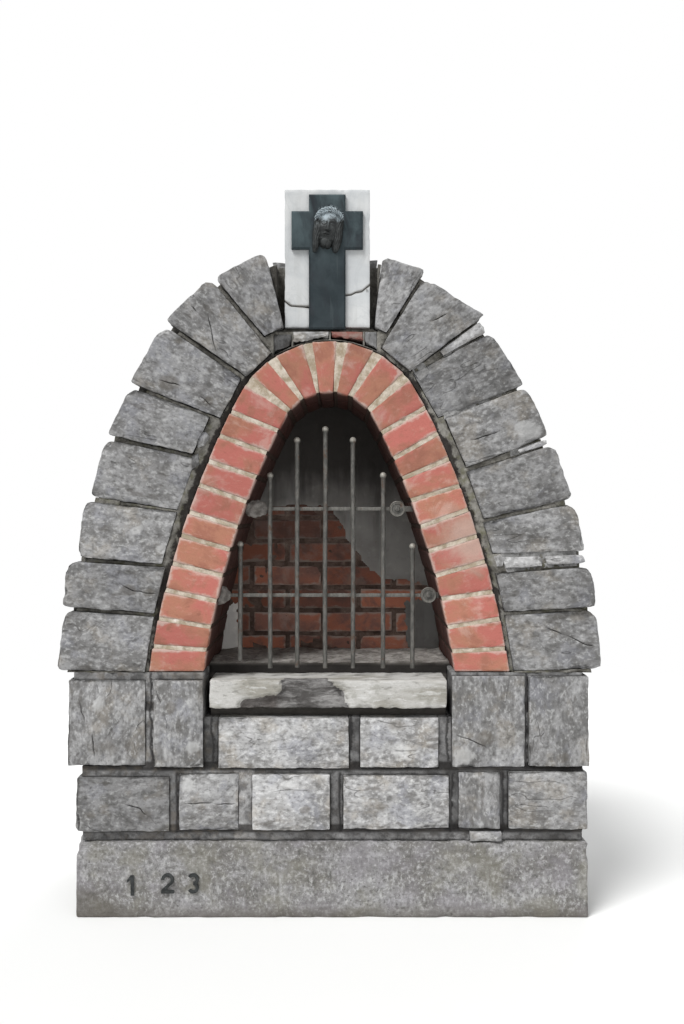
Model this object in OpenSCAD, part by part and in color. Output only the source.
// Wayside shrine: a rough stone arch and a brick arch round a niche with an iron grille,
// standing on two ashlar courses and a plinth, with a marble slab and a cross on its crown.
// Millimetres. +Z up, front face towards -Y, origin under the middle of the arch at the foot.

/* [Masonry] */
// Depth of the masonry from its front face to its back face
masonry_depth = 620; // [580:10:700]
// Depth of the niche behind the face of the brick arch
niche_depth = 450; // [380:10:450]
// Thickness of the brick leaf at the back of the niche
back_leaf = 100; // [80:5:110]
// How far the mortar lies behind the stone faces
joint_recess = 10; // [8:1:20]
// Mortar joint between the front stone and the rear stone of a pair
pair_joint = 14; // [8:1:20]
// How far the mortar between the arch stones ends inside the line of their outer ends
arch_mortar_inset = 46; // [36:1:70]
// How far the mortar of the base ends inside the sides of its stones
base_mortar_inset = 18; // [12:1:40]
// Size of the worn upper corners at the outer ends of the arch stones
upper_corner_wear = 16; // [6:1:18]
// Size of the worn lower corners at the outer ends of the arch stones
lower_corner_wear = 4; // [2:1:10]
// How far the arch stones reach into their joints past the marked lines
joint_fill = 4; // [0:1:4]

/* [Base] */
// Left end of the plinth
plinth_left = -712; // [-730:1:-705]
// Right end of the plinth
plinth_right = 728; // [715:1:745]
// Height of the plinth
plinth_height = 213; // [180:1:216]
// Foot of the lower course
lower_course_foot = 243; // [240:1:246]
// Top of the lower course
lower_course_top = 401; // [390:1:404]
// Foot of the upper course
upper_course_foot = 419; // [417:1:425]
// Top of the tall stones in the upper course, left side
left_pier_top = 665; // [655:1:676]
// Top of the tall stones in the upper course, right side
right_pier_top = 677; // [660:1:680]
// Top of the two low stones under the sill
under_sill_top = 560; // [550:1:562]
// Height of the springing of both arches
springing = 686; // [680:1:690]

/* [Arches] */
// Half the clear width of the niche at the springing
niche_half_width = 352; // [345:1:360]
// Height of the niche above the springing
niche_rise = 788; // [770:1:800]
// Radius of the tight curve at the crown of the niche
crown_radius = 142; // [136:1:150]
// Angle above level at which the side curve meets the crown curve
meeting_angle = 27.5; // [26:0.5:29]
// Width of the brick ring on the face
brick_ring = 146; // [140:1:150]
// Line of the inner ends of the arch stones, outwards from the niche curve
stone_inner_line = 178; // [174:1:184]
// Line of the outer ends of the arch stones, outwards from the niche curve
stone_outer_line = 428; // [410:1:440]

/* [Sill and floor] */
// Top of the front edge of the sill
sill_top = 668; // [660:1:674]
// Thickness of the sill
sill_thickness = 82; // [70:1:85]
// Depth of the sill, front to back
sill_depth = 150; // [130:5:160]
// How far the sill stands in front of the masonry
sill_overhang = 8; // [0:1:12]
// Height of the niche floor
floor_top = 704; // [695:1:710]
// How far the bedding under the sill lies behind the masonry face
sill_bed_recess = 45; // [20:5:80]

/* [Grille] */
// Diameter of the upright bars
bar_diameter = 14; // [12:0.5:16]
// Distance of the bars behind the masonry face
bar_setback = 70; // [60:5:90]
// Height of the lower flat rail
lower_rail_height = 898; // [880:1:910]
// Height of the upper flat rail
upper_rail_height = 1146; // [1130:1:1155]
// Depth of the flat rails, front to back
rail_depth = 8; // [6:1:10]
// Height of the flat rails on the face
rail_height = 11; // [8:1:14]

/* [Slab and cross] */
// Width of the marble slab
slab_width = 241; // [236:1:244]
// Height of the marble slab
slab_height = 390; // [375:1:400]
// Thickness of the marble slab
slab_thickness = 48; // [36:1:56]
// Height of the foot of the marble slab
slab_foot = 1657; // [1652:1:1660]
// Distance of the slab behind the masonry face
slab_setback = 22; // [18:1:40]
// Open slot between each side of the slab and the mortar beside it
slab_slot = 22; // [10:1:24]
// Mortar between the slab and the keystone behind it
keystone_gap = 25; // [10:1:60]
// Width of the upright of the cross
cross_upright_width = 103; // [90:1:105]
// Overall height of the cross
cross_height = 379; // [370:1:385]
// Length of the arms from tip to tip
cross_span = 201; // [190:1:205]
// Height of the arms
cross_arm_height = 107; // [100:1:112]
// Thickness of the cross
cross_thickness = 14; // [10:1:18]
// Height of the relief head
head_height = 136; // [120:1:140]

/* [Hidden] */

front = -masonry_depth / 2;
back = masonry_depth / 2;
brick_recess = 10;
niche_back = front + brick_recess + niche_depth;
mortar_front = front + joint_recess;
mortar_back = back - joint_recess;

// How far each stone face stands out from the plane of the masonry, used in turn
face_stands = [9, 4, 12, 6, 0, 11, 3, 8];
// Share of the depth taken by the front stone of a pair, used in turn
pair_shares = [0.56, 0.44, 0.6, 0.48];

// Left end, right end, rise of the foot and rise of the top of each stone in the lower course
lower_course = [
    [-712, -448, -3, -8],
    [-422, -254, -1, 1],
    [-216, 3, 2, 1],
    [39, 337, 4, -3],
    [362, 480, 4, 5],
    [502, 726, 5, 8]];
// Left end, right end and rise of the foot of each stone in the upper course
left_outer_pier = [-735, -516, 4];
left_inner_pier = [-493, -353, 1];
under_sill_left = [-312, 56, -2];
under_sill_right = [86, 307, 0];
right_inner_pier = [344, 550, 0];
right_outer_pier = [559, 730, 4];
sill_ends = [-337, 331];
// Left and right sides of the bed between the two inner pier stones
bed_ends = [left_inner_pier[1], right_inner_pier[0]];

// Each arch stone has a lower and an upper joint. A joint is a straight line given by two distances
// from the springing, measured round the arch: along the outer line and along the inner line. The last
// three values are how far the inner end, the lower outer corner and the upper outer corner lie from
// the niche curve.
left_stones = [
    [[10, 5], [174, 156], 164, 415, 417],
    [[192, 173], [314, 298], 164, 421, 438],
    [[334, 314], [490, 458], 176, 412, 438],
    [[510, 472], [672, 620], 178, 425, 439],
    [[692, 636], [832, 742], 190, 435, 430],
    [[850, 756], [1030, 880], 162, 437, 432],
    [[1050, 898], [1216, 996], 156, 433, 430],
    [[1234, 1016], [1390, 1058], 206, 424, 426]];
right_stones = [
    [[15, 8], [174, 160], 165, 414, 424],
    [[190, 177], [298, 280], 166, 424, 433],
    [[350, 344], [482, 430], 172, 428, 436],
    [[502, 446], [656, 580], 176, 434, 432],
    [[690, 598], [834, 744], 178, 426, 428],
    [[848, 757], [1016, 896], 162, 424, 410],
    [[1075, 914], [1274, 1020], 160, 424, 392],
    [[1290, 1036], [1420, 1055], 204, 418, 404]];
// Rear keystone behind the slab: its left joint, its right joint, its inner end and its outer end
keystone = [[1406, 1072], [1434, 1074], 212, 412];
// Small flat stones wedged into wide joints of the right side: lower joint, upper joint,
// inner end and outer end
pinning_wedges = [
    [[310, 296], [336, 330], 196, 300],
    [[312, 300], [338, 328], 312, 420],
    [[664, 588], [682, 591], 330, 420],
    [[1024, 903], [1067, 907], 260, 404]];
wedge_wear = 3;
// Flat chip in the bed joint on top of the plinth, and how far it ends below the lower course
bed_chip = [394, 484];
bed_chip_depth = 110;
bed_chip_gap = 3;

side_radius = crown_radius + (niche_half_width ^ 2 + (niche_rise - crown_radius) ^ 2 - crown_radius ^ 2)
    / (2 * (crown_radius - niche_half_width * cos(meeting_angle)
            + (niche_rise - crown_radius) * sin(meeting_angle)));
crown_centre = [0, springing + niche_rise - crown_radius];
side_centre = crown_centre - (side_radius - crown_radius) * [cos(meeting_angle), sin(meeting_angle)];
curve_steps = 18;

slab_left = -126;
slab_front = front + slab_setback;
slab_back = slab_front + slab_thickness;
slab_right = slab_left + slab_width;
slot_ends = [slab_left - slab_slot, slab_right + slab_slot];
// How far a cutting shape runs past the edge that it cuts
past_edge = 1;
// Crack through the slab, from its left edge to its right edge
slab_crack = [[slab_left - past_edge, 1733], [-109, 1719], [-57, 1715], [48, 1749],
              [62, 1750], [73, 1756], [91, 1759], [slab_right + past_edge, 1779]];
crack_width = 1.5;
// Top of the mortar behind the slab
crown_mortar_top = 1836;
// Left end, right end and top of each small stone packed between the brick ring and the slab
packing_stones = [[-156, -106, 1636], [-101, 0, 1644], [4, 95, 1644], [100, 134, 1643]];
packing_foot = 1560;
packing_recess = 6;
packing_gap = 2;
// Open slot between the slab and the stones packed under it
slab_bed_foot = 1644;
slab_bed_depth = 20;

cross_left = -57;
cross_middle = cross_left + cross_upright_width / 2;
cross_foot = slab_foot - 6;
cross_arm_top = 1983;
cross_front = slab_front - cross_thickness;
head_middle = [-3, 1929];
head_width = 88;
head_relief = 34;

bar_places = [-256, -170, -92.5, -12, 68, 154, 238];
bar_tops = [1054, 1251, 1352, 1383, 1352, 1251, 1048];
bar_feet = [712, 690, 692, 690, 690, 690, 690];
bar_line = front + bar_setback;
bar_sides = 24;
knob_diameter = bar_diameter + 5;
knob_height = 18;
rail_front = bar_line + bar_diameter / 2;
lower_rail_ends = [-300, 262];
upper_rail_ends = [-190, 172];
plate_diameter = 46;
plate_thickness = 9;
lug_height = 22;
lug_depth = 26;

// Upright numerals on the plinth: left end, foot and height of each
numeral_places = [[-566, 64], [-470, 70], [-400, 70]];
numeral_height = 56;
numeral_width = 36;
numeral_stroke = 9;
numeral_relief = 4;

stone_colour = [0.56, 0.55, 0.53];
mortar_colour = [0.38, 0.36, 0.33];
brick_colour = [0.74, 0.38, 0.32];
dark_brick_colour = [0.4, 0.22, 0.18];
sill_colour = [0.72, 0.7, 0.66];
marble_colour = [0.9, 0.9, 0.87];
slate_colour = [0.22, 0.26, 0.3];
bronze_colour = [0.16, 0.15, 0.13];
iron_colour = [0.4, 0.4, 0.37];

function degrees_of(arc, radius) = arc / radius * 180 / PI;
function arc_of(angle, radius) = angle * PI / 180 * radius;

// Angle of the curve's normal where the side curve at this offset reaches the springing
function foot_angle(offset) = asin((springing - side_centre[1]) / (side_radius + offset));

// Length of the side curve at this offset, from the springing to the crown curve
function side_length(offset) = arc_of(meeting_angle - foot_angle(offset), side_radius + offset);

// Point on the right half of the arch at this offset, for an angle of the curve's normal
function point_at_angle(angle, offset) =
    angle < meeting_angle
        ? side_centre + (side_radius + offset) * [cos(angle), sin(angle)]
        : crown_centre + (crown_radius + offset) * [cos(angle), sin(angle)];

// Point on the right half of the arch at a distance round the curve from the springing
function point_at(distance, offset) =
    point_at_angle(
        distance < side_length(offset)
            ? foot_angle(offset) + degrees_of(distance, side_radius + offset)
            : meeting_angle + degrees_of(distance - side_length(offset), crown_radius + offset),
        offset);

// Point on a joint line of the arch stones at this offset from the niche curve
function joint_point(joint, offset) =
    let (outer = point_at(joint[0], stone_outer_line), inner = point_at(joint[1], stone_inner_line))
    inner + (outer - inner) * (offset - stone_inner_line) / (stone_outer_line - stone_inner_line);

function mirrored(points) = [for (i = [len(points) - 1:-1:0]) [-points[i][0], points[i][1]]];

// Right half of the arch curve at this offset, from the springing to the apex
function half_curve(offset) = concat(
    [for (i = [0:curve_steps - 1])
        point_at_angle(foot_angle(offset) + (meeting_angle - foot_angle(offset)) * i / curve_steps, offset)],
    [for (i = [0:curve_steps])
        point_at_angle(meeting_angle + (90 - meeting_angle) * i / curve_steps, offset)]);

// Closed outline of everything inside the arch curve at this offset
function arch_outline(offset) = concat(half_curve(offset), mirrored(half_curve(offset)));

// Corners of a stone between two joints, with its lower and upper outer corners worn off
function stone_outline(lower, upper, inner_end, outer_ends, wears) =
    let (
        low_in = joint_point(lower, inner_end),
        low_out = joint_point(lower, outer_ends[0]),
        high_out = joint_point(upper, outer_ends[1]),
        high_in = joint_point(upper, inner_end),
        along_face = (high_out - low_out) / norm(high_out - low_out))
    [low_in,
     joint_point(lower, outer_ends[0] - wears[0]), low_out + along_face * wears[0],
     high_out - along_face * wears[1], joint_point(upper, outer_ends[1] - wears[1]),
     high_in];

function stone_corners(stone) =
    stone_outline(stone[0] - [joint_fill, joint_fill], stone[1] + [joint_fill, joint_fill],
                  stone[2], [stone[3], stone[4]], [lower_corner_wear, upper_corner_wear]);

// Takes a drawing in X and Z from one Y to another
module along_y(from, to)
    translate([0, to, 0]) rotate([90, 0, 0]) linear_extrude(to - from) children();

module face_box(ends, bottom, top) translate([ends[0], bottom]) square([ends[1] - ends[0], top - bottom]);

// A front stone and a rear stone with the same outline and a mortar joint between them
module stone_pair(turn) {
    split = front + masonry_depth * pair_shares[turn % len(pair_shares)];
    front_stand = face_stands[turn % len(face_stands)];
    rear_stand = face_stands[(turn + 3) % len(face_stands)];
    color(stone_colour) {
        along_y(front - front_stand, split - pair_joint / 2) children();
        along_y(split + pair_joint / 2, back + rear_stand) children();
    }
}

module lower_course_stone(i) {
    stone = lower_course[i];
    stone_pair(i) face_box(stone, lower_course_foot + stone[2], lower_course_top + stone[3]);
}

module upper_course_stone(stone, turn, top)
    stone_pair(turn) face_box(stone, upper_course_foot + stone[2], top);

module left_outer_pier_stone() upper_course_stone(left_outer_pier, 1, left_pier_top);

module left_inner_pier_stone() upper_course_stone(left_inner_pier, 2, left_pier_top);

module right_inner_pier_stone() upper_course_stone(right_inner_pier, 6, right_pier_top);

module right_outer_pier_stone() upper_course_stone(right_outer_pier, 5, right_pier_top);

module under_sill_stones() {
    upper_course_stone(under_sill_left, 0, under_sill_top);
    upper_course_stone(under_sill_right, 3, under_sill_top);
}

module arch_stone_face(stone, side) {
    if (side > 0) polygon(stone_corners(stone));
    else mirror([1, 0]) polygon(stone_corners(stone));
}

module left_arch_stone(i) stone_pair(i + 1) arch_stone_face(left_stones[i], -1);

module right_arch_stone(i) stone_pair(i + 4) arch_stone_face(right_stones[i], 1);

module plinth()
    color(stone_colour)
        along_y(front, back) face_box([plinth_left, plinth_right], 0, plinth_height);

// Plain numeral one: a stem with a short flag
module numeral_one()
    union() {
        translate([numeral_width * 0.3, 0]) square([numeral_stroke, numeral_height]);
        polygon([[numeral_width * 0.3, numeral_height], [0, numeral_height * 0.76],
                 [0, numeral_height * 0.62], [numeral_width * 0.3, numeral_height * 0.8]]);
    }

// Upper bow of the numerals two and three
module numeral_bow(middle, radius, from_angle, to_angle)
    translate(middle)
        intersection() {
            difference() {
                circle(radius, $fn = 48);
                circle(radius - numeral_stroke, $fn = 48);
            }
            polygon(concat([[0, 0]], [for (i = [0:8])
                2 * radius * [cos(from_angle + (to_angle - from_angle) * i / 8),
                              sin(from_angle + (to_angle - from_angle) * i / 8)]]));
        }

module numeral_two() {
    bow = numeral_width / 2;
    union() {
        numeral_bow([bow, numeral_height - bow], bow, -35, 180);
        square([numeral_width, numeral_stroke]);
        polygon([[0, numeral_stroke], [numeral_stroke * 1.3, numeral_stroke],
                 [numeral_width * 0.95, numeral_height * 0.52],
                 [numeral_width * 0.75, numeral_height * 0.6]]);
    }
}

module numeral_three() {
    bow = (numeral_height + numeral_stroke) / 4;
    union() {
        numeral_bow([numeral_width - bow, numeral_height - bow], bow, -90, 150);
        numeral_bow([numeral_width - bow, bow], bow, -150, 90);
    }
}

module plinth_numerals()
    color(bronze_colour)
        along_y(front - numeral_relief, front) {
            translate(numeral_places[0]) numeral_one();
            translate(numeral_places[1]) numeral_two();
            translate(numeral_places[2]) numeral_three();
        }

module base_stones() {
    for (i = [0:5]) lower_course_stone(i);
    left_outer_pier_stone();
    left_inner_pier_stone();
    right_inner_pier_stone();
    right_outer_pier_stone();
    under_sill_stones();
}

// Mortar in the joints of the base, behind the faces of the stones
module base_mortar()
    color(mortar_colour)
        difference() {
            along_y(mortar_front, mortar_back) {
                face_box([lower_course[0][0] + base_mortar_inset, right_outer_pier[1] - base_mortar_inset],
                         plinth_height, under_sill_top);
                face_box([left_outer_pier[0] + base_mortar_inset, bed_ends[0]], under_sill_top, springing);
                face_box([bed_ends[1], right_outer_pier[1] - base_mortar_inset], under_sill_top, springing);
            }
            base_stones();
            bed_chip_solid();
        }

module bed_chip_solid()
    along_y(front - face_stands[1], front + bed_chip_depth)
        face_box(bed_chip, plinth_height, lower_course_foot - bed_chip_gap);

module sill()
    color(sill_colour)
        along_y(front - sill_overhang, front - sill_overhang + sill_depth)
            face_box(sill_ends, sill_top - sill_thickness, sill_top);

// Bedding under the sill and the raised floor of the niche behind it
module niche_floor() {
    floor_front = front - sill_overhang + sill_depth;
    color(mortar_colour) {
        along_y(front + sill_bed_recess, floor_front)
            face_box(sill_ends, under_sill_top, sill_top - sill_thickness);
        along_y(floor_front, niche_back)
            intersection() {
                face_box([-niche_half_width, niche_half_width], under_sill_top, floor_top);
                union() {
                    polygon(arch_outline(0));
                    face_box(bed_ends, under_sill_top, springing);
                }
            }
    }
}

module brick_arch()
    color(brick_colour)
        along_y(front + brick_recess, niche_back)
            difference() {
                polygon(arch_outline(brick_ring));
                polygon(arch_outline(0));
            }

// Everything inside the arch stones, from the bed of the sill up
module wall_face() {
    polygon(arch_outline(brick_ring));
    face_box(bed_ends, under_sill_top, springing);
}

module niche_back_wall() color(dark_brick_colour) along_y(niche_back, niche_back + back_leaf) wall_face();

module rear_wall_leaf() color(stone_colour) along_y(niche_back + back_leaf, back) wall_face();

module arch_stones()
    for (i = [0:7]) {
        left_arch_stone(i);
        right_arch_stone(i);
    }

module wedge_face(wedge)
    polygon(stone_outline(wedge[0], wedge[1], wedge[2], [wedge[3], wedge[3]], [wedge_wear, wedge_wear]));

// Mortar round the brick arch and between the arch stones, behind their faces
module arch_mortar()
    color(mortar_colour)
        difference() {
            along_y(mortar_front, mortar_back)
                difference() {
                    intersection() {
                        polygon(arch_outline(stone_outer_line - arch_mortar_inset));
                        face_box([plinth_left * 2, plinth_right * 2], springing, crown_mortar_top);
                    }
                    polygon(arch_outline(brick_ring));
                }
            arch_stones();
            keystone();
            pinning_wedge_solids();
            along_y(front, slab_back) face_box(slot_ends, slab_foot, slab_foot + slab_height);
            along_y(front, slab_front + slab_bed_depth) face_box(slot_ends, slab_bed_foot, slab_foot);
            packing_solids();
        }

module pinning_wedge_solids()
    along_y(front - face_stands[1], front + bed_chip_depth)
        for (wedge = pinning_wedges) wedge_face(wedge);

module pinning_stones()
    color(stone_colour) {
        pinning_wedge_solids();
        bed_chip_solid();
    }

module packing_solids()
    along_y(front + packing_recess, slab_back)
        difference() {
            for (stone = packing_stones) face_box(stone, packing_foot, stone[2]);
            polygon(arch_outline(brick_ring + packing_gap));
        }

function mirrored_point(p) = [-p[0], p[1]];

// Rear keystone between the two uppermost arch stones, behind the slab
module keystone()
    along_y(slab_back + keystone_gap, back + face_stands[1])
        polygon([mirrored_point(joint_point(keystone[0], keystone[2])),
                 mirrored_point(joint_point(keystone[0], keystone[3])),
                 joint_point(keystone[1], keystone[3]),
                 joint_point(keystone[1], keystone[2])]);

// Small stones packed under the slab, and the keystone behind it
module crown_stones()
    color(stone_colour) {
        packing_solids();
        keystone();
    }

module slab_face() face_box([slab_left, slab_right], slab_foot, slab_foot + slab_height);

// The part of the slab below the crack line when it is moved down by this much
module below_crack(drop)
    polygon(concat([[slab_left - past_edge, slab_foot - past_edge]], [for (p = slab_crack) p - [0, drop]],
                   [[slab_right + past_edge, slab_foot - past_edge]]));

module slab_upper_piece()
    color(marble_colour)
        along_y(slab_front, slab_back)
            difference() {
                slab_face();
                below_crack(0);
            }

module slab_lower_piece()
    color(marble_colour)
        along_y(slab_front, slab_back)
            intersection() {
                slab_face();
                below_crack(crack_width);
            }

module cross_upright()
    face_box([cross_left, cross_left + cross_upright_width], cross_foot, cross_foot + cross_height);

module cross()
    color(slate_colour)
        along_y(cross_front, slab_front)
            union() {
                cross_upright();
                face_box([cross_middle - cross_span / 2, cross_middle + cross_span / 2],
                         cross_arm_top - cross_arm_height, cross_arm_top);
            }

// Head in half relief on the cross: a broad crown above a narrower beard
module relief_head()
    color(bronze_colour)
        intersection() {
            translate([head_middle[0], cross_front, head_middle[1]])
                hull() {
                    translate([0, 0, head_height / 2 - head_width / 2])
                        resize([head_width, 2 * head_relief, head_width]) sphere(head_width / 2, $fn = 32);
                    translate([0, 0, -head_height / 2 + head_width / 4])
                        resize([head_width * 0.5, 1.5 * head_relief, head_width * 0.5])
                            sphere(head_width / 4, $fn = 32);
                }
            along_y(cross_front - head_relief, cross_front)
                face_box([-cross_span, cross_span], slab_foot, slab_foot + slab_height);
        }

// A round bar with a knob on its head
module grille_bar(place, foot, top)
    translate([place, bar_line, foot])
        rotate_extrude($fn = bar_sides)
            polygon([[0, 0], [bar_diameter / 2, 0], [bar_diameter / 2, top - foot - knob_height],
                     [knob_diameter / 2, top - foot - knob_height * 0.7],
                     [knob_diameter / 2, top - foot - knob_height * 0.4], [0, top - foot]]);

module grille_bars()
    color(iron_colour)
        for (i = [0:len(bar_places) - 1]) grille_bar(bar_places[i], bar_feet[i], bar_tops[i]);

module rail(ends, height)
    color(iron_colour)
        translate([ends[0], rail_front, height - rail_height / 2])
            cube([ends[1] - ends[0], rail_depth, rail_height]);

module grille_rails() {
    rail(upper_rail_ends, upper_rail_height);
    rail(lower_rail_ends, lower_rail_height);
}

// Keeps only what lies in the clear opening of the niche
module in_niche()
    intersection() {
        children();
        along_y(front, niche_back) polygon(arch_outline(0));
    }

// Round plate at the right end of a rail, with a lug that reaches the brickwork
module plate_fixing(rail_end, height)
    in_niche()
        union() {
            translate([rail_end + plate_diameter / 2, rail_front + plate_thickness, height])
                rotate([90, 0, 0]) cylinder(d = plate_diameter, h = plate_thickness, $fn = 40);
            translate([rail_end + plate_diameter / 2, rail_front, height - lug_height / 2])
                cube([plate_diameter * 2, plate_thickness, lug_height]);
        }

// Lug of mortar at the left end of a rail, keyed to the brickwork
module lug_fixing(rail_end, height)
    in_niche()
        translate([rail_end - plate_diameter * 2, rail_front - lug_depth / 3, height - lug_height])
            cube([plate_diameter * 2, lug_depth, lug_height * 2]);

module rail_fixings()
    color(iron_colour) {
        plate_fixing(upper_rail_ends[1], upper_rail_height);
        plate_fixing(lower_rail_ends[1], lower_rail_height);
        lug_fixing(upper_rail_ends[0], upper_rail_height);
        lug_fixing(lower_rail_ends[0], lower_rail_height);
    }

plinth();
plinth_numerals();
base_mortar();
for (i = [1:6])
    lower_course_stone(i - 1);
left_outer_pier_stone();
left_inner_pier_stone();
under_sill_stones();
right_inner_pier_stone();
right_outer_pier_stone();
sill();
niche_floor();
brick_arch();
arch_mortar();
niche_back_wall();
rear_wall_leaf();
for (i = [1:8])
    left_arch_stone(i - 1);
for (i = [1:8])
    right_arch_stone(i - 1);
pinning_stones();
crown_stones();
slab_upper_piece();
slab_lower_piece();
cross();
relief_head();
grille_bars();
grille_rails();
rail_fixings();
